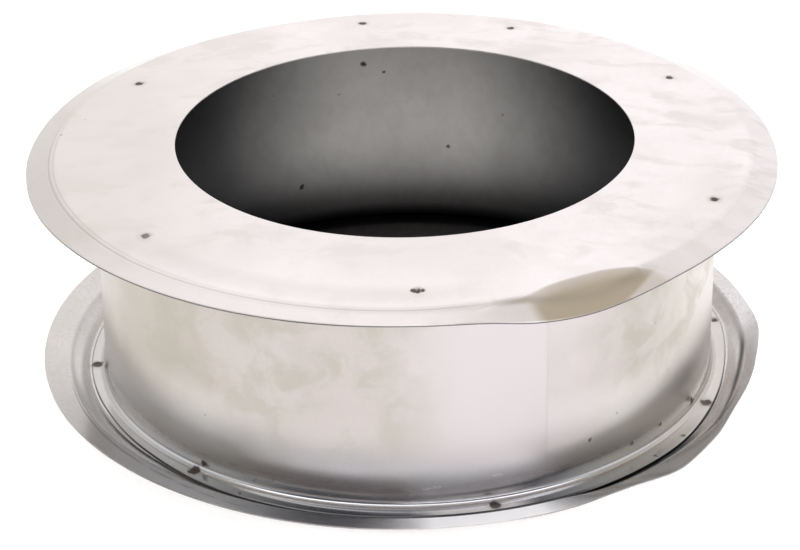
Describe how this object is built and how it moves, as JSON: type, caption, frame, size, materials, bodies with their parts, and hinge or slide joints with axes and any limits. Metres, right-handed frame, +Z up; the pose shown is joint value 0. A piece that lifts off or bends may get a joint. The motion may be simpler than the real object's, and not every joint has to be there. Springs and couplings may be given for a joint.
{
  "type": "wall thimble",
  "caption": "Spool-shaped sheet-metal wall thimble: a rolled drum with a turned-out flange at each end, spot-welded to two ring plates that a round flue pipe passes through.",
  "frame": {"origin": "centre of the flue opening, on the plane of the lower plate's outer face, which the spool stands on", "axes": "+Z up along the flue axis, from the lower plate to the upper plate; -Y toward the side that faces the camera"},
  "size_m": [0.332, 0.332, 0.1077],
  "materials": {
    "plate_sheet": "galvanised, dull bright, smeared and scuffed",
    "band_sheet": "galvanised, semi-bright, faint warm haze"
  },
  "bodies": {
    "root": {"top_plate": "plate_sheet", "bottom_plate": "plate_sheet", "wall_band": "band_sheet"}
  },
  "joints": []
}
